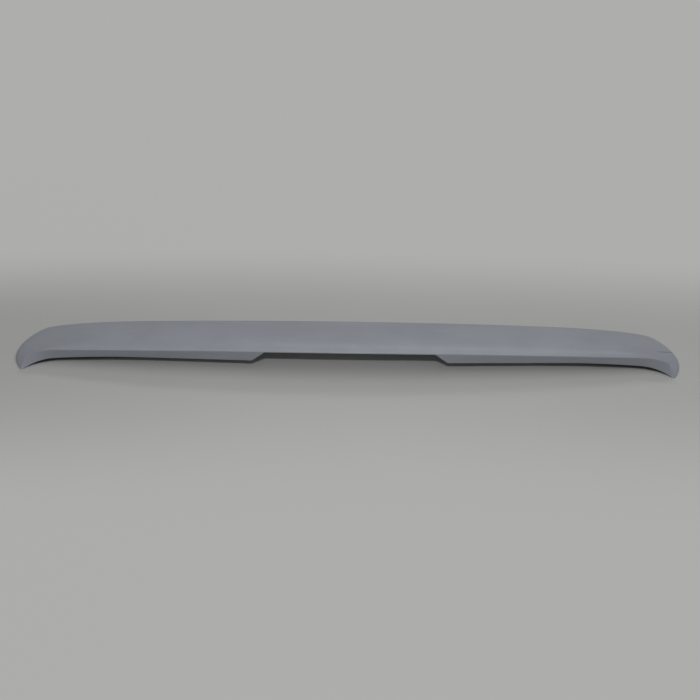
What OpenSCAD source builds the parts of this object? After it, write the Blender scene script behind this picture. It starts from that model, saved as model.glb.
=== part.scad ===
// Roof spoiler for the top of a car's tailgate: one moulded shell with a rolled trailing lip, a rear
// fascia with a notch for the high-level brake light, and two ends that turn down to the body side.
// X runs across the car, Y from the trailing lip towards the leading edge, Z up. The shell stands on
// the rims of its two ends, with the origin on the floor below the middle of its outline.

/* [Plan] */
// Width over the two ends at their widest
overall_w = 1180; // [1100:5:1260]
// Depth from the lip to the leading edge at the middle
chord = 118; // [108:1:130]
// How far the lip's ends lie ahead of its middle, before the tips sweep back
lip_bulge = 30; // [20:1:38]
// How far each tip sweeps back towards the lip's line
tip_sweep = 22.5; // [12:0.5:26]
// Width from the widest place of an end in to its rear tip
tip_inset = 22.5; // [14:0.5:34]
// Width from the widest place of an end in to its front corner
corner_inset = 20.5; // [10:0.5:26]

/* [Heights] */
// Height of the lip at the middle
lip_h = 50; // [46:0.5:58]
// How much lower the lip is at its ends
lip_crown = 24.5; // [16:0.5:28]
// Height of the leading edge at the middle
lead_h = 36.5; // [33:0.5:43]
// How much lower the leading edge is at its ends
lead_crown = 12; // [8:1:16]

/* [Skin] */
// Thickness of the moulded wall
wall = 3; // [2.5:0.1:4]
// Width of the roll between the ridge and the lip
roll_w = 20; // [14:1:30]
// How far the roll falls from the ridge to the lip
roll_fall = 3; // [2:0.25:5]
// How much of each face the rounded edge of the lip takes
lip_round = 1.5; // [0.8:0.1:1.7]

/* [Ends] */
// Length over which the lip turns down to the tip
lip_turn = 14; // [10:1:24]
// Length over which the leading edge turns down to the corner
lead_turn = 250; // [200:5:280]
// Width of the flat rim that each end stands on
rim_w = 6; // [4.5:0.5:9]

/* [Leading edge] */
// Thickness of the leading edge at its nose
nose_t = 2; // [1.5:0.1:2.5]
// Width of the bonding land under the leading edge
land_w = 18; // [12:1:26]

/* [Rear fascia] */
// Height of the fascia's foot at the middle
foot_h = 26; // [23:0.5:29]
// How much lower the foot is at its ends, before it turns down
foot_crown = 15; // [10:0.5:17]
// Length over which the foot turns down to the tip
foot_turn = 180; // [140:2:200]
// How far the fascia is undercut where it leans most
undercut = 7.5; // [5:0.5:10]
// Width of the bonding land along the fascia's foot
foot_land = 6; // [4.5:0.5:9]
// Length of the fascia's end that touches the floor at the tip
tip_flat = 4; // [3:0.5:6]

/* [Brake light notch] */
// Width of the notch under the lip
notch_top_w = 290; // [240:5:330]
// Width of the notch at the fascia's foot
notch_foot_w = 336; // [300:2:380]
// Thickness of the lip's edge that is left above the notch
notch_edge = 2.4; // [1.8:0.1:2.8]
// Radius of the corners where the notch meets the foot
notch_r = 5; // [3:0.5:8]

/* [Resolution] */
// Rings along each half of the nearly straight middle
mid_rings = 8; // [6:1:12]
// Rings round each down-turned end
end_rings = 22; // [14:1:26]
// Rows across the roll
roll_rows = 6; // [4:1:8]
// Rows across the rest of the top skin
skin_rows = 12; // [8:1:16]
// Rows round the edge of the lip
lip_rows = 3; // [2:1:5]
// Rows down the fascia
fascia_rows = 3; // [2:1:5]

/* [Hidden] */

half_w = overall_w / 2;
tip_x = half_w - tip_inset;
// Place across the chord where an end is widest, from 0 at the lip to 1 at the leading edge
widest_at = 0.48;
// Part of the half span where the middle rings end and the end rings start
turn_from = 0.56;
// Part of the half span where the tips start to sweep back, and how sharply they do
sweep_from = 0.895;
sweep_power = 2.5;
// How round the roll is, and the top from the ridge to the leading edge
roll_power = 1.5;
skin_power = 1.6;
// How square the lip, the leading edge and the fascia's foot turn down at an end
lip_square = 1.2;
lead_square = 2.77;
foot_square = 1.6;
// Part of the half span where the fascia leans in most, and how late the lean fades toward the tip
lean_most = 0.57;
lean_power = 4;
// Width of the step between the skin and the bonding land
step_w = 3;
roll_part = roll_w / chord;
land_from = 1 - land_w / chord;
step_from = land_from - step_w / chord;
notch_arc_steps = 10;

function sq(a) = a * a;
function mix(a, b, t) = a + (b - a) * t;
function over(a, from) = max(0, (a - from) / (1 - from));
function toward(a, b, len) = a + (b - a) * len / norm(b - a);
function bend(a, corner, b, t) = sq(1 - t) * a + 2 * t * (1 - t) * corner + sq(t) * b;

// s runs from 0 at the middle to 1 at an end, v from 0 at the lip to 1 at the leading edge
function side_x(v) = half_w - (v < widest_at
    ? tip_inset * sq(1 - v / widest_at)
    : corner_inset * sq(over(v, widest_at)));
function turn(s, len, square) = pow(max(0, 1 - pow(over(s, 1 - len), square)), 1 / square);
function lip_y(s) = lip_bulge * sq(s) - tip_sweep * pow(over(s, sweep_from), sweep_power);
function lip_z(s) = lip_h - lip_crown * sq(s);
function lead_z(s) = lead_h - lead_crown * sq(s);
function ridge_z(s) = lip_z(s) + roll_fall;
function skin_z(s, v) = v < roll_part
    ? ridge_z(s) - roll_fall * pow(1 - v / roll_part, roll_power)
    : mix(ridge_z(s), lead_z(s), pow(over(v, roll_part), skin_power));
function skin_turn(s, v) = let (toward_lead = sqrt(v)) turn(s,
    mix(lip_turn / tip_x, lead_turn / half_w, toward_lead),
    mix(lip_square, lead_square, toward_lead));
// The fascia leans in most a little past half way to an end, and not at all at the middle and the tip
function foot_y(s) = lip_y(s) + undercut * (1 - (s < lean_most
    ? sq(1 - s / lean_most)
    : pow(over(s, lean_most), lean_power)));
function foot_z(s) = (foot_h - foot_crown * sq(s)) * turn(s, foot_turn / tip_x, foot_square);

// Depth of the skin below its own top: the wall, or down to the level bonding land near the nose
function skin_depth(s, v) = v < land_from ? wall : skin_z(s, v) - lead_z(s) + nose_t;

// Points of the outer and the inner face, by u from -1 to 1 across the car
function top_out(u, v) = let (s = abs(u))
    [u * side_x(v), mix(lip_y(s), chord, v), skin_z(s, v) * skin_turn(s, v)];
function top_in(u, v) = let (s = abs(u))
    [u * (side_x(v) - rim_w), mix(lip_y(s) + wall, chord - nose_t / 2, v),
     (skin_z(s, v) - skin_depth(s, v)) * skin_turn(s, v)];
function foot_out(u) = [u * (tip_x - tip_flat), foot_y(abs(u)), foot_z(abs(u))];
function foot_in(u) = [u * (tip_x - tip_flat - rim_w), foot_y(abs(u)) + foot_land, foot_z(abs(u))];

// Rings of the span, and rows of the chord from where the rounded lip ends
half_span = concat(
    [for (i = [1:mid_rings]) turn_from * i / mid_rings],
    [for (i = [1:end_rings]) mix(turn_from, 1, sin(90 * i / end_rings))]);
span = concat([for (i = [len(half_span) - 1:-1:0]) -half_span[i]], [0], half_span);
rows = concat(
    [for (j = [0:roll_rows]) mix(lip_round / chord, roll_part, sq(j / roll_rows))],
    [for (j = [1:skin_rows]) mix(roll_part, step_from, j / skin_rows)],
    [land_from, mix(land_from, 1, 0.5), 1]);
sheet_n = len(rows) + lip_rows + fascia_rows;
ring_n = 2 * sheet_n;

// One face of a ring, from its row across the skin round the lip to the fascia's foot
function sheet(skin, corner, foot) =
    let (below = toward(corner, foot, lip_round), n = len(skin))
    concat(
        [for (j = [n - 1:-1:0]) skin[j]],
        [for (k = [1:lip_rows]) bend(skin[0], corner, below, k / lip_rows)],
        [for (k = [1:fascia_rows]) mix(below, foot, k / fascia_rows)]);
function outer_sheet(u) = sheet([for (v = rows) top_out(u, v)], top_out(u, 0), foot_out(u));
function inner_sheet(u) = sheet([for (v = rows) top_in(u, v)], top_in(u, 0), foot_in(u));

// One ring: the outer face down to the fascia's foot, and the inner face back up
function ring(u) = let (inner = inner_sheet(u))
    concat(outer_sheet(u), [for (k = [sheet_n - 1:-1:0]) inner[k]]);

module shell_body() {
    points = [for (u = span) each ring(u)];
    last = (len(span) - 1) * ring_n;
    sides = [for (i = [0:len(span) - 2]) for (k = [0:ring_n - 1])
        let (a = i * ring_n + k, b = i * ring_n + (k + 1) % ring_n, c = a + ring_n, d = b + ring_n)
        each [[a, c, b], [b, c, d]]];
    // The two rims that stand on the floor join the outer and the inner face
    rims = [for (k = [0:sheet_n - 2]) let (m = ring_n - 1 - k)
        each [[k, k + 1, m], [k + 1, m - 1, m],
              [last + k, last + m, last + k + 1], [last + k + 1, last + m, last + m - 1]]];
    polyhedron(points, concat(sides, rims));
}

// Outline of the notch, seen from behind: two ramps and a top that follows the lip
module notch_outline() {
    half_top = notch_top_w / 2;
    half_foot = notch_foot_w / 2;
    foot_at = foot_z(half_foot / tip_x);
    // The cut also clears the space under the foot, this far down and to each side
    clear = foot_h;
    offset(r = -notch_r, $fn = 64) offset(delta = notch_r)
        polygon(concat(
            [[half_foot + clear, foot_at - clear], [half_foot + clear, foot_at - notch_r]],
            [[half_foot, foot_at]],
            [for (i = [0:notch_arc_steps])
                let (x = mix(half_top, -half_top, i / notch_arc_steps))
                [x, lip_z(abs(x) / tip_x) - notch_edge]],
            [[-half_foot, foot_at]],
            [[-half_foot - clear, foot_at - notch_r], [-half_foot - clear, foot_at - clear]]));
}

module spoiler_shell() {
    // The cut starts behind the lip and ends past the fascia's inner face
    cut_from = -notch_r;
    cut_to = lip_bulge + undercut + foot_land;
    color("lightslategray")
    translate([0, -chord / 2, 0])
    difference() {
        shell_body();
        translate([0, cut_to, 0])
            rotate([90, 0, 0])
            linear_extrude(cut_to - cut_from)
            notch_outline();
    }
}

spoiler_shell();
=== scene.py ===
import math

import bpy
import numpy as np
from mathutils import Matrix, Vector


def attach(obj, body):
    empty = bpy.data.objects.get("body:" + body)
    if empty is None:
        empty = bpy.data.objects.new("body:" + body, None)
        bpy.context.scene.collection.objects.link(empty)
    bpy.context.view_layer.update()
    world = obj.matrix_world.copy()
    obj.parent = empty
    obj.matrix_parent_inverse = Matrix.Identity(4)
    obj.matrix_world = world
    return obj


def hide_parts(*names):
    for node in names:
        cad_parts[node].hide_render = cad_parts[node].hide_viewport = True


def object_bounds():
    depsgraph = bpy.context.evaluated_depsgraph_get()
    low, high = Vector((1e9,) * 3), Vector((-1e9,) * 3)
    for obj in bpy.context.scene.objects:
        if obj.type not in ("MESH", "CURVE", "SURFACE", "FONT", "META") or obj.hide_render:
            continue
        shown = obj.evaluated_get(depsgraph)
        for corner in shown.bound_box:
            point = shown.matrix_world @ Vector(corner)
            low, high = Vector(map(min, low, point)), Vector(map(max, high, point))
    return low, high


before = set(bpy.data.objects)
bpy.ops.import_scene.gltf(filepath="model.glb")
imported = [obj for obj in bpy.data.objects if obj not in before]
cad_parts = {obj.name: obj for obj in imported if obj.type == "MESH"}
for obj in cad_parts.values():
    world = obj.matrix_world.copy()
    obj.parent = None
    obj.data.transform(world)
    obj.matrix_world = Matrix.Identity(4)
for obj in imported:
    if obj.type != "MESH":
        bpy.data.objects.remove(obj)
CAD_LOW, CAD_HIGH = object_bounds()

# Lengths are in millimetres and become metres where a mesh, a texture, a lamp or the camera is made.
# X runs across the car, Y from the trailing lip towards the leading edge, Z up.
MM = 0.001

# Plan of the moulded shell, as in the solids
HALF_W = (CAD_HIGH.x - CAD_LOW.x) / 2 / MM
CHORD = (CAD_HIGH.y - CAD_LOW.y) / MM
LIP_BULGE = 30
TIP_SWEEP = 22.5
TIP_INSET = 22.5
CORNER_INSET = 20.5
TIP_X = HALF_W - TIP_INSET

# Heights of the lip and the leading edge at the middle, and how much lower their ends are
LIP_H = 50
LIP_CROWN = 24.5
LEAD_H = 36.5
LEAD_CROWN = 12

# Skin, bonding land under the leading edge, and down-turned ends
WALL = 3
ROLL_W = 20
ROLL_FALL = 3
NOSE_T = 2
LAND_W = 18
STEP_W = 3
LIP_TURN = 14
LEAD_TURN = 250
RIM_W = 6

# Rear fascia and its brake light notch
FOOT_H = 26
FOOT_CROWN = 15
FOOT_TURN = 180
UNDERCUT = 7.5
FOOT_LAND = 6
TIP_FLAT = 4
NOTCH_TOP_W = 290
NOTCH_FOOT_W = 336
NOTCH_EDGE = 2.4

# Where the shell's curves start, as parts of the chord or of the half span, and how they bend.
# The roll is fuller here than in the solids, by under 1 mm, as the photograph shows it.
WIDEST_AT = 0.48
SWEEP_FROM = 0.895
SWEEP_POWER = 2.5
ROLL_POWER = 3
SKIN_POWER = 1.6
LIP_SQUARE = 1.2
LEAD_SQUARE = 2.77
FOOT_SQUARE = 1.6
LEAN_MOST = 0.57
LEAN_POWER = 4
ROLL_PART = ROLL_W / CHORD
STEP_TO = 1 - LAND_W / CHORD
STEP_FROM = STEP_TO - STEP_W / CHORD

# Roundings of the edges, as the length that each takes of the faces beside it
LIP_ROUND = 1.5
TIP_ROUND = 5.0
TIP_ROUND_FROM = 0.95
FOOT_ROUND = 0.7
NOSE_ROUND = 0.9
RIM_ROUND = 0.6
INNER_ROUND = 3.0
NOTCH_ROUND = 2.2
# The largest part of the fascia's length that the lip's rounding may take
LIP_SHARE = 0.45

# Painted shade along the fascia's foot: a near-black band that widens the shadow strip under the foot.
# It grows towards the ends and closes at the tips: its height, how far it lowers the foot, the parts of
# the half span where it grows and closes, and the height that its rows keep where there is none
PAINTED_SHADE_H = 4
PAINTED_SHADE_DROP = 2.5
PAINTED_SHADE_GROWS = (0.55, 0.82)
PAINTED_SHADE_CLOSES = (0.93, 1)
PAINTED_SHADE_LEAST = 0.15

# The fine crease near the right end: it lies in a plane, given by its normal and its distance
# from the origin, and fades in between two places across the car. Its colour is darkened as painted
# shade in the crease.
CREASE_NORMAL = (0.0199, 0.585, 0.811)
CREASE_AT = 26.74
CREASE_X = (541, 553)
CREASE_WIDTH = 1.3
CREASE_WANDER = 0.25
CREASE_DEPTH = 0.3
CREASE_PAINTED_SHADE = 0.6

# Rings across the car: the X between which the notch's ramps lie, the part of the half span where
# the ends start to turn, the last ring, just off the floor, and the rings in each stretch
NOTCH_FROM = 138
NOTCH_TO = 176
TURN_FROM = 0.56
LAST_RING = 0.99985
MIDDLE_RINGS = 18
NOTCH_RINGS = 44
FLANK_RINGS = 26
END_RINGS = 84

# Rows round a ring. The skin's rows lie a little closer near the lip, and the rows of the inner
# step start a little before it. The rows by the foot are placed as if the fascia had one length.
FASCIA_ROWS = 9
LIP_ROWS = 9
SKIN_ROWS = 46
STEP_ROWS = 8
SKIN_EASE = 0.4
STEP_LEAD = 0.01
FASCIA_LEN = 25
CORNER_STEPS = 4
RIM_STEPS = 3
CUT_SAMPLES = 600

# Material slots of the shell's faces: the outside, the inside and the painted shade band along the foot
OUTSIDE, INSIDE, PAINTED_SHADE_EDGE = 0, 1, 2

# Colours
PRIMER_TONES = (0.226, 0.239, 0.268), (0.246, 0.259, 0.289)
DUST_TONE = (0.42, 0.43, 0.45)
# Tone of the painted shade in the crease
CREASE_SHADE_TONE = (0.05, 0.052, 0.056)
MOULDING_TONES = (0.180, 0.190, 0.208), (0.240, 0.252, 0.278)
# Near-black tones of the painted shade band along the foot
PAINTED_SHADE_TONES = (0.010, 0.010, 0.011), (0.022, 0.022, 0.024)
BLACK = (0, 0, 0)
WHITE = (1, 1, 1)

# Floor: its own colour near the part, how much lighter its clouds are, and the even background that
# takes over between two distances from the middle, which are this many times longer across the car
FLOOR_TONE = (0.37, 0.37, 0.364)
FLOOR_CLOUD = 1.03
BACKGROUND_TONE = (0.405, 0.405, 0.4)
EVEN_FROM = 120
EVEN_TO = 420
EVEN_ACROSS = 5
FLOOR_SIZE = 16000

# Lamps: a small flash above the camera, a soft panel overhead and a wide one high behind the part
FLASH_AT = (-30, -940, 925)
FLASH_RADIUS = 22
FLASH_POWER = 25
OVERHEAD_AT = (350, -560, 1900)
OVERHEAD_SIZE = (2000, 2540)
OVERHEAD_POWER = 11.8
CARD_AT = (600, 1770, 1770)
CARD_SIZE = (2600, 440)
CARD_POWER = 13.6

# Light of the surroundings from in front and from behind, and the part of it that comes from the
# far left, which grows to all of it where a direction's X reaches the last value
WORLD_FRONT = 0.58
WORLD_BACK = 0.14
WORLD_LEFT = 0.5
WORLD_FULL_AT = 0.3

# Camera: angles in degrees, and a focal length in pixels of a picture this many pixels wide
VIEW_ELEVATION = 35.057
VIEW_YAW = 0.945
VIEW_ROLL = 1.358
VIEW_DIST = 1320.8
VIEW_TARGET = (0.9, 18.1, 1.5)
FOCAL_PX = 730
IMAGE_PX = 700
SENSOR_MM = 36


def sq(a):
    return a * a


def mix(a, b, t):
    return a + (b - a) * t


def over(a, start):
    """How far a is past start, as a part of the way from there to 1."""
    return np.maximum(0, (a - start) / (1 - start))


def smooth(value, start, end):
    t = np.clip((value - start) / (end - start), 0, 1)
    return t * t * (3 - 2 * t)


def unit(a):
    return a / np.maximum(np.linalg.norm(a, axis=-1, keepdims=True), 1e-9)


def point(x, y, z):
    return np.stack(np.broadcast_arrays(x, y, z), axis=-1)


# Curves of the shell, by s from 0 at the middle to 1 at an end and v from 0 at the lip to 1 at the
# leading edge. A place across the car is given as u, which is s with the sign of X.


def side_x(v):
    """Half width of the shell."""
    behind = TIP_INSET * sq(1 - v / WIDEST_AT)
    ahead = CORNER_INSET * sq(over(v, WIDEST_AT))
    return HALF_W - np.where(v < WIDEST_AT, behind, ahead)


def turn(s, length, square):
    """Height factor of an edge that turns down to the floor over its last part of the half span."""
    return np.maximum(0, 1 - over(s, 1 - length) ** square) ** (1 / square)


def lip_y(s):
    return LIP_BULGE * sq(s) - TIP_SWEEP * over(s, SWEEP_FROM) ** SWEEP_POWER


def lip_z(s):
    return LIP_H - LIP_CROWN * sq(s)


def lead_z(s):
    return LEAD_H - LEAD_CROWN * sq(s)


def skin_z(s, v):
    """Height of the top before its ends turn down."""
    ridge = lip_z(s) + ROLL_FALL
    roll = ridge - ROLL_FALL * np.maximum(0, 1 - v / ROLL_PART) ** ROLL_POWER
    top = mix(ridge, lead_z(s), over(v, ROLL_PART) ** SKIN_POWER)
    return np.where(v < ROLL_PART, roll, top)


def skin_turn(s, v):
    """Height factor of the top, from the lip's short turn to the leading edge's long one."""
    toward_lead = np.sqrt(np.maximum(v, 0))
    length = mix(LIP_TURN / TIP_X, LEAD_TURN / HALF_W, toward_lead)
    return turn(s, length, mix(LIP_SQUARE, LEAD_SQUARE, toward_lead))


def painted_shade_part(s):
    """How much of the full height of the painted shade band along the foot there is."""
    return smooth(s, *PAINTED_SHADE_GROWS) * (1 - smooth(s, *PAINTED_SHADE_CLOSES))


def foot_z(s):
    height = (FOOT_H - FOOT_CROWN * sq(s)) * turn(s, FOOT_TURN / TIP_X, FOOT_SQUARE)
    # Lowered by the drop of the painted shade band along the foot
    return np.maximum(height - PAINTED_SHADE_DROP * painted_shade_part(s), 0)


def foot_y(s):
    fade = np.where(s < LEAN_MOST, sq(1 - s / LEAN_MOST), over(s, LEAN_MOST) ** LEAN_POWER)
    return lip_y(s) + UNDERCUT * (1 - fade)


def skin_out(u, v):
    s = np.abs(u)
    return point(u * side_x(v), mix(lip_y(s), CHORD, v), skin_z(s, v) * skin_turn(s, v))


def skin_in(u, v):
    """Inner face of the skin: a wall below the top, and past a step the level bonding land."""
    s = np.abs(u)
    land_z = lead_z(s) - NOSE_T
    before_step = skin_z(s, np.minimum(v, STEP_FROM)) - WALL
    z = np.where(
        v < STEP_FROM,
        skin_z(s, v) - WALL,
        mix(before_step, land_z, smooth(v, STEP_FROM, STEP_TO)))
    y = mix(lip_y(s) + WALL, CHORD - NOSE_T / 2, v)
    return point(u * (side_x(v) - RIM_W), y, z * skin_turn(s, v))


def foot_out(u):
    s = np.abs(u)
    return point(u * (TIP_X - TIP_FLAT), foot_y(s), foot_z(s))


def foot_in(u):
    s = np.abs(u)
    return point(u * (TIP_X - TIP_FLAT - RIM_W), foot_y(s) + FOOT_LAND, foot_z(s))


def bend(start, corner, end, t):
    """A curve from start to end that heads for the corner between them."""
    return sq(1 - t) * start + 2 * t * (1 - t) * corner + sq(t) * end


def round_corner(before, corner, after, reach, steps=CORNER_STEPS):
    """Rows that round a corner, each a point for every ring."""
    room_before = np.linalg.norm(before - corner, axis=-1, keepdims=True)
    room_after = np.linalg.norm(after - corner, axis=-1, keepdims=True)
    start = corner + unit(before - corner) * np.minimum(reach, room_before)
    end = corner + unit(after - corner) * np.minimum(reach, room_after / 2)
    return [bend(start, corner, end, k / steps) for k in range(steps + 1)]


def wall_path(u, t, skin, foot, reach):
    """A face of the shell, by t from -1 at the fascia's foot over 0 at the lip to 1 at the nose."""
    corner = skin(u, np.zeros_like(u))
    foot_at = foot(u)
    fascia_len = np.linalg.norm(foot_at - corner, axis=-1)
    back = np.minimum(reach / np.maximum(fascia_len, 1e-6), LIP_SHARE)[..., None]
    ahead = reach[..., None] / CHORD
    start = mix(corner, foot_at, back)
    end = skin(u, reach / CHORD)
    above = skin(u, np.clip(t, 0, 1))
    t = t[..., None]
    below = mix(corner, foot_at, np.clip(-t, 0, 1))
    rounded = bend(start, corner, end, np.clip((t + back) / (back + ahead), 0, 1))
    return np.where(t < -back, below, np.where(t > ahead, above, rounded))


def lip_reach(u):
    """The lip's edge is crisp along the car and gets rounder where it turns down at the tips."""
    grow = np.clip(over(np.abs(u), TIP_ROUND_FROM), 0, 1)
    return mix(LIP_ROUND, TIP_ROUND, sq(grow))


def outer(u, t):
    return wall_path(u, t, skin_out, foot_out, lip_reach(u))


def inner(u, t):
    return wall_path(u, t, skin_in, foot_in, np.full_like(u, INNER_ROUND))


def notch_z(x):
    """Lower edge of the fascia: the foot, the two ramps of the notch and the lip's edge above it."""
    s = np.abs(x) / TIP_X
    foot_at = foot_z(NOTCH_FOOT_W / 2 / TIP_X)
    top_at = lip_z(NOTCH_TOP_W / 2 / TIP_X) - NOTCH_EDGE
    along = (np.abs(x) - NOTCH_TOP_W / 2) / ((NOTCH_FOOT_W - NOTCH_TOP_W) / 2)
    ramp = mix(top_at, foot_at, along)
    foot = foot_z(s)
    near = np.maximum(NOTCH_ROUND - np.abs(ramp - foot), 0) / NOTCH_ROUND
    side = np.maximum(ramp, foot) + sq(near) * NOTCH_ROUND / 4
    return np.minimum(side, lip_z(s) - NOTCH_EDGE)


def cut_place(path, u):
    """Where a face of the shell meets the notch's outline, as the path's own t."""
    samples = np.linspace(-1, ROLL_PART, CUT_SAMPLES)
    places = []
    for one in u:
        points = path(np.full_like(samples, one), samples)
        above = points[:, 2] - notch_z(points[:, 0])
        cut = abs(one) * TIP_X < NOTCH_TO
        places.append(np.interp(0, above, samples) if cut else -1.0)
    return np.array(places)


def across():
    """Places of the rings from one end to the other, closer at the notch's ramps and the ends."""
    notch_from, notch_to = NOTCH_FROM / TIP_X, NOTCH_TO / TIP_X
    sweep = np.sin(np.radians(90) * np.arange(1, END_RINGS + 1) / END_RINGS)
    half = np.concatenate([
        np.linspace(0, notch_from, MIDDLE_RINGS + 1)[1:],
        np.linspace(notch_from, notch_to, NOTCH_RINGS + 1)[1:],
        np.linspace(notch_to, TURN_FROM, FLANK_RINGS + 1)[1:],
        mix(TURN_FROM, LAST_RING, sweep)])
    return np.concatenate([-half[::-1], [0], half])


def places_between(start, end, count, ease=0.0):
    """Places from start up to, but not at, end. With ease they lie closer together near start."""
    parts = [k / count for k in range(count)]
    return [mix(start, end, ease * sq(part) + (1 - ease) * part) for part in parts]


def face_rows(path, u, cut, reach):
    """Rows of one face from the foot's rounding up the fascia, round the lip and to the nose."""
    foot_gap = FOOT_ROUND / FASCIA_LEN
    low = cut + foot_gap
    # Rows of the painted shade band along the foot, above the foot's rounding
    painted_shade_top = low + (PAINTED_SHADE_LEAST + PAINTED_SHADE_H * painted_shade_part(np.abs(u))) / FASCIA_LEN
    lip = np.maximum(-np.minimum(reach / FASCIA_LEN, LIP_SHARE), painted_shade_top + foot_gap)
    past_lip = np.maximum(reach / CHORD, lip + foot_gap)
    step = np.full_like(u, STEP_FROM - STEP_LEAD)
    last = np.full_like(u, 1 - NOSE_ROUND / CHORD)
    places = [low]
    places += places_between(painted_shade_top, lip, FASCIA_ROWS)
    places += places_between(lip, past_lip, LIP_ROWS)
    places += places_between(past_lip, step, SKIN_ROWS, SKIN_EASE)
    places += places_between(step, last, STEP_ROWS) + [last]
    return [path(u, t) for t in places]


def shell_grid():
    """The outside and the inside, each as rows from the middle of the foot to the nose's middle."""
    u = across()
    sides = [(outer, skin_out, lip_reach(u)), (inner, skin_in, np.full_like(u, INNER_ROUND))]
    cuts = [cut_place(path, u) for path, skin, reach in sides]
    feet = [path(u, cut) for (path, skin, reach), cut in zip(sides, cuts)]
    noses = [skin(u, np.ones_like(u)) for path, skin, reach in sides]
    grids = []
    for i, (path, skin, reach) in enumerate(sides):
        rows = face_rows(path, u, cuts[i], reach)
        foot = round_corner(feet[1 - i], feet[i], rows[0], FOOT_ROUND)
        nose = round_corner(rows[-1], noses[i], noses[1 - i], NOSE_ROUND)
        grids.append(np.array(foot[:-1] + rows[:-1] + nose))
    return grids


def rounded_end(rows, other, end, inward):
    """Rings that round the edge between a face's end ring and the rim on the floor."""
    edge = rows[:, end].copy()
    edge[:, 2] = 0
    middle = mix(edge, other[:, end], 0.5)
    middle[:, 2] = 0
    return np.stack(round_corner(rows[:, inward], edge, middle, RIM_ROUND, RIM_STEPS), axis=1)


def add_rims(rows, other):
    """Replaces a face's ring at each end by rings that round it into the rim on the floor."""
    left = rounded_end(rows, other, 0, 2)[:, ::-1]
    right = rounded_end(rows, other, -1, -3)
    return np.concatenate([left, rows[:, 1:-1], right], axis=1)


def skin_faces(loop, outer_rows):
    """Quads round the whole loop of rows, each with its material slot."""
    rows_n, rings_n = loop.shape[:2]
    faces = []
    for r in range(rows_n):
        low, high = r * rings_n, (r + 1) % rows_n * rings_n
        for i in range(rings_n - 1):
            # Near the ends, faces of the foot's rounding and of the band above it take the painted shade
            # slot
            near_end = abs(loop[r, i, 0]) > PAINTED_SHADE_GROWS[0] * TIP_X
            painted_shade = r <= CORNER_STEPS and near_end
            slot = INSIDE if r >= outer_rows else PAINTED_SHADE_EDGE if painted_shade else OUTSIDE
            faces.append(((low + i, low + i + 1, high + i + 1, high + i), slot))
    return faces


def rim_faces(loop, outer_rows):
    """Quads across the two rims on the floor, which close the shell between its two faces."""
    rows_n, rings_n = loop.shape[:2]
    faces = []
    for ring, order in ((0, 1), (rings_n - 1, -1)):
        for k in range(outer_rows - 1):
            quad = (k, k + 1, rows_n - 2 - k, rows_n - 1 - k)[::order]
            faces.append((tuple(r * rings_n + ring for r in quad), OUTSIDE))
    return faces


def build_shell():
    outside, inside = shell_grid()
    outside, inside = add_rims(outside, inside), add_rims(inside, outside)
    loop = np.concatenate([outside, inside[::-1]])
    faces = skin_faces(loop, len(outside)) + rim_faces(loop, len(outside))
    verts = loop.reshape(-1, 3) - (0, CHORD / 2, 0)
    mesh = bpy.data.meshes.new("moulded_shell")
    mesh.from_pydata((verts * MM).tolist(), [], [corners for corners, slot in faces])
    mesh.validate()
    for face, (corners, slot) in zip(mesh.polygons, faces):
        face.use_smooth = True
        face.material_index = slot
    shell = bpy.data.objects.new("moulded_shell", mesh)
    bpy.context.collection.objects.link(shell)
    return shell


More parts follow.
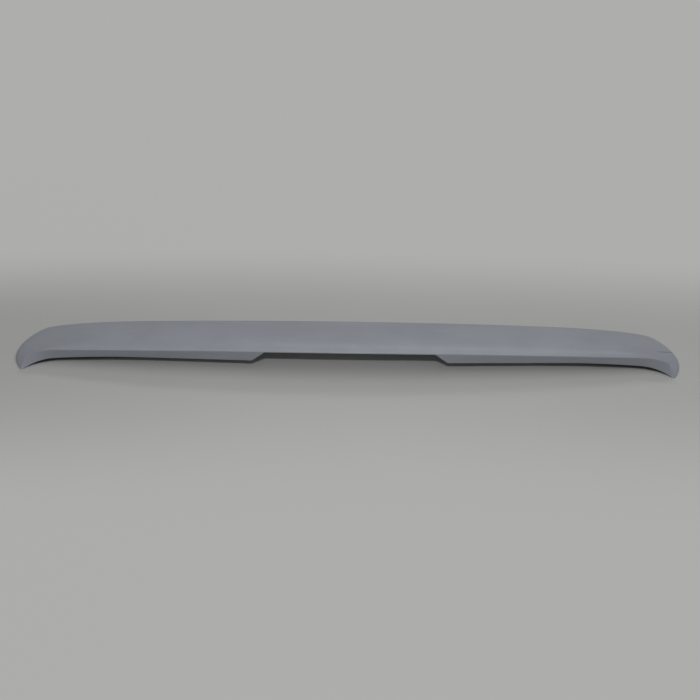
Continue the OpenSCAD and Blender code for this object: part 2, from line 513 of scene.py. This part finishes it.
class Nodes:
    """A short way to write the node tree of a material or of the world."""

    def __init__(self, owner, shader="Principled BSDF"):
        owner.use_nodes = True
        self.owner = owner
        self.tree = owner.node_tree
        self.shader = self.tree.nodes[shader]

    def add(self, kind, inputs=None, **settings):
        node = self.tree.nodes.new(kind)
        for key, value in settings.items():
            setattr(node, key, value)
        for key, value in (inputs or {}).items():
            self.set(node.inputs[key], value)
        return node

    def set(self, socket, value):
        if isinstance(value, bpy.types.NodeSocket):
            self.tree.links.new(value, socket)
        else:
            socket.default_value = value

    def place(self, stretch=(1, 1, 1)):
        """The object's own coordinates in metres, stretched along the axes."""
        coords = self.add("ShaderNodeTexCoord").outputs["Object"]
        inputs = {0: coords, 1: stretch}
        return self.add("ShaderNodeVectorMath", inputs, operation="MULTIPLY").outputs[0]

    def noise(self, scale, detail=2, rough=0.5, stretch=(1, 1, 1)):
        """Noise with about this many features to the metre."""
        inputs = {"Vector": self.place(stretch), "Scale": scale, "Detail": detail, "Roughness": rough}
        return self.add("ShaderNodeTexNoise", inputs).outputs["Fac"]

    def ramp(self, value, low, high, to_low=0.0, to_high=1.0, kind="SMOOTHSTEP"):
        inputs = {"Value": value, "From Min": low, "From Max": high, "To Min": to_low, "To Max": to_high}
        return self.add("ShaderNodeMapRange", inputs, interpolation_type=kind).outputs["Result"]

    def math(self, operation, a, b=0.0):
        return self.add("ShaderNodeMath", {0: a, 1: b}, operation=operation).outputs[0]

    def blend(self, amount, a, b):
        """From colour a to colour b, each a tone or another node's output."""
        node = self.add("ShaderNodeMix", data_type="RGBA")
        self.set(node.inputs["Factor"], amount)
        for socket, tone in ((node.inputs[6], a), (node.inputs[7], b)):
            self.set(socket, (*tone, 1.0) if isinstance(tone, tuple) else tone)
        return node.outputs[2]

    def relief(self, *layers):
        """Bumps laid over each other, each given by its height, its depth in mm and its strength."""
        normal = None
        for height, depth, strength in layers:
            inputs = {"Height": height, "Distance": depth * MM, "Strength": strength}
            if normal is not None:
                inputs["Normal"] = normal
            normal = self.add("ShaderNodeBump", inputs).outputs["Normal"]
        return normal

    def finish(self, tone, rough, relief, gloss=0.5):
        """Gives the shader its colour, roughness, relief and specular level."""
        self.set(self.shader.inputs["Base Color"], tone)
        self.set(self.shader.inputs["Roughness"], rough)
        self.set(self.shader.inputs["Specular IOR Level"], gloss)
        if relief is not None:
            self.set(self.shader.inputs["Normal"], relief)
        return self.owner

    def background_seen(self):
        """1 for rays that show the background: from the camera, off glossy and through clear faces."""
        rays = self.add("ShaderNodeLightPath").outputs
        seen = self.math("MAXIMUM", rays["Is Camera Ray"], rays["Is Glossy Ray"])
        return self.math("MAXIMUM", seen, rays["Is Transmission Ray"])


def crease_line(n):
    """How much a place belongs to the fine crease across the top near the right end."""
    place = n.place()
    along = n.add("ShaderNodeVectorMath", {0: place, 1: CREASE_NORMAL}, operation="DOT_PRODUCT")
    sway = CREASE_WANDER * MM
    wander = n.ramp(n.noise(160, detail=2), 0.3, 0.7, -sway, sway)
    off = n.math("SUBTRACT", along.outputs["Value"], CREASE_AT * MM)
    off = n.math("ABSOLUTE", n.math("ADD", off, wander))
    across_line = n.ramp(off, 0, CREASE_WIDTH * MM, 1, 0)
    x = n.add("ShaderNodeSeparateXYZ", {0: place}).outputs["X"]
    return n.math("MULTIPLY", across_line, n.ramp(x, *(end * MM for end in CREASE_X)))


def primer_material():
    """Satin grey primer: slight mottling, orange peel, fine sanding marks and a little dust."""
    n = Nodes(bpy.data.materials.new("grey_primer"))
    crease = crease_line(n)

    mottle = n.ramp(n.noise(9, detail=4, rough=0.6, stretch=(1, 1.6, 1.6)), 0.35, 0.65)
    tone = n.blend(mottle, *PRIMER_TONES)
    speck = n.ramp(n.noise(2600, detail=1), 0.62, 0.72, 0, 0.22)
    dust = n.math("MULTIPLY", speck, n.ramp(n.noise(30, detail=3), 0.4, 0.7))
    tone = n.blend(dust, tone, DUST_TONE)
    # Painted shade: the colour is darkened along the crease
    tone = n.blend(n.math("MULTIPLY", crease, CREASE_PAINTED_SHADE), tone, CREASE_SHADE_TONE)

    scuffs = n.ramp(n.noise(60, detail=5, rough=0.7, stretch=(0.12, 1, 1)), 0.35, 0.7, 0.30, 0.38)
    rough = n.math("ADD", scuffs, n.math("MULTIPLY", mottle, 0.03))

    waves = n.noise(22, detail=1)
    peel = n.noise(420, detail=2)
    sanding = n.noise(900, detail=2, stretch=(0.08, 1, 1))
    dent = n.math("SUBTRACT", 1.0, crease)
    layers = [(waves, 0.6, 0.5), (peel, 0.04, 0.6), (sanding, 0.01, 0.5), (dent, CREASE_DEPTH, 0.8)]
    return n.finish(tone, rough, n.relief(*layers), gloss=0.15)


def moulding_material():
    """The inner face: dark grained moulding under a thin, uneven veil of primer."""
    n = Nodes(bpy.data.materials.new("raw_moulding"))
    tone = n.blend(n.ramp(n.noise(14, detail=5, rough=0.65), 0.3, 0.7), *MOULDING_TONES)
    rough = n.ramp(n.noise(80, detail=3), 0.3, 0.7, 0.58, 0.72)
    grain = n.noise(1300, detail=3)
    waves = n.noise(26, detail=2)
    return n.finish(tone, rough, n.relief((grain, 0.05, 0.7), (waves, 0.8, 0.5)))


def painted_shade_edge_material():
    """Painted shade along the foot near the ends, standing in for the shadow strip under the foot:
    nearly black and dull.
    """
    n = Nodes(bpy.data.materials.new("painted_shade_edge"))
    cut = n.ramp(n.noise(300, detail=3, stretch=(0.1, 1, 1)), 0.3, 0.7)
    rough = n.ramp(cut, 0, 1, 0.6, 0.75)
    return n.finish(n.blend(cut, *PAINTED_SHADE_TONES), rough, None, gloss=0.2)


def floor_material():
    """Pale floor, whose seen colour turns into the even background away from the part."""
    n = Nodes(bpy.data.materials.new("pale_floor"))
    around = n.place(stretch=(1 / EVEN_ACROSS, 1, 1))
    away = n.add("ShaderNodeVectorMath", {0: around}, operation="LENGTH").outputs["Value"]
    even = n.math("MULTIPLY", n.background_seen(), n.ramp(away, EVEN_FROM * MM, EVEN_TO * MM))
    cloud = n.ramp(n.noise(2.2, detail=4), 0.3, 0.7)
    near_tone = n.blend(cloud, FLOOR_TONE, tuple(c * FLOOR_CLOUD for c in FLOOR_TONE))
    n.set(n.shader.inputs["Emission Color"], (*BACKGROUND_TONE, 1.0))
    n.set(n.shader.inputs["Emission Strength"], even)
    return n.finish(n.blend(even, near_tone, BLACK), 0.75, None, gloss=0.2)


def add_floor():
    half = FLOOR_SIZE / 2 * MM
    corners = [(-half, -half, 0), (half, -half, 0), (half, half, 0), (-half, half, 0)]
    mesh = bpy.data.meshes.new("floor")
    mesh.from_pydata(corners, [], [(0, 1, 2, 3)])
    mesh.materials.append(floor_material())
    floor = bpy.data.objects.new("floor", mesh)
    bpy.context.collection.objects.link(floor)


def add_lamp(name, kind, power, at):
    data = bpy.data.lights.new(name, kind)
    data.energy = power
    lamp = bpy.data.objects.new(name, data)
    lamp.location = Vector(at) * MM
    bpy.context.collection.objects.link(lamp)
    return lamp


def add_panel(name, power, at, target, size):
    """A soft rectangular lamp, with its first side across the car."""
    lamp = add_lamp(name, "AREA", power, at)
    lamp.data.shape = "RECTANGLE"
    lamp.data.size, lamp.data.size_y = (side * MM for side in size)
    direction = (Vector(target) - Vector(at)).normalized()
    lamp.rotation_euler = direction.to_track_quat("-Z", "Y").to_euler()


def add_lamps():
    flash = add_lamp("flash", "POINT", FLASH_POWER, FLASH_AT)
    flash.data.shadow_soft_size = FLASH_RADIUS * MM
    below = (OVERHEAD_AT[0], OVERHEAD_AT[1], 0)
    add_panel("overhead", OVERHEAD_POWER, OVERHEAD_AT, below, OVERHEAD_SIZE)
    add_panel("card", CARD_POWER, CARD_AT, (0, 0, 0), CARD_SIZE)


def add_world():
    world = bpy.data.worlds.new("studio")
    bpy.context.scene.world = world
    n = Nodes(world, "Background")
    coords = n.add("ShaderNodeTexCoord").outputs["Generated"]
    toward = n.add("ShaderNodeSeparateXYZ", {0: coords}).outputs
    level = n.ramp(toward["Y"], -1, 1, WORLD_FRONT, WORLD_BACK, kind="LINEAR")
    level = n.math("MULTIPLY", level, n.ramp(toward["X"], -1, WORLD_FULL_AT, WORLD_LEFT, 1))
    light = n.blend(level, BLACK, WHITE)
    n.set(n.shader.inputs["Color"], n.blend(n.background_seen(), light, BACKGROUND_TONE))


def add_camera():
    lift, yaw, roll = (math.radians(a) for a in (VIEW_ELEVATION, VIEW_YAW, VIEW_ROLL))
    ahead = Vector((math.sin(yaw) * math.cos(lift), math.cos(yaw) * math.cos(lift), -math.sin(lift)))
    level = Vector((math.cos(yaw), -math.sin(yaw), 0))
    upright = level.cross(ahead)
    right = level * math.cos(roll) + upright * math.sin(roll)
    up = upright * math.cos(roll) - level * math.sin(roll)
    data = bpy.data.cameras.new("camera")
    data.sensor_width = SENSOR_MM
    data.lens = SENSOR_MM * FOCAL_PX / IMAGE_PX
    camera = bpy.data.objects.new("camera", data)
    bpy.context.collection.objects.link(camera)
    place = (Vector(VIEW_TARGET) - ahead * VIEW_DIST) * MM
    axes = Matrix((right, up, -ahead)).transposed().to_4x4()
    camera.matrix_world = Matrix.Translation(place) @ axes
    bpy.context.scene.camera = camera


def main():
    bpy.context.scene.view_settings.view_transform = "Standard"
    add_camera()
    add_lamps()
    add_world()
    add_floor()
    shell = build_shell()
    # In the order of the slots: outside, inside and the painted shade band along the foot
    for make in (primer_material, moulding_material, painted_shade_edge_material):
        shell.data.materials.append(make())
    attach(shell, "root")
    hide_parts("spoiler_shell")


main()
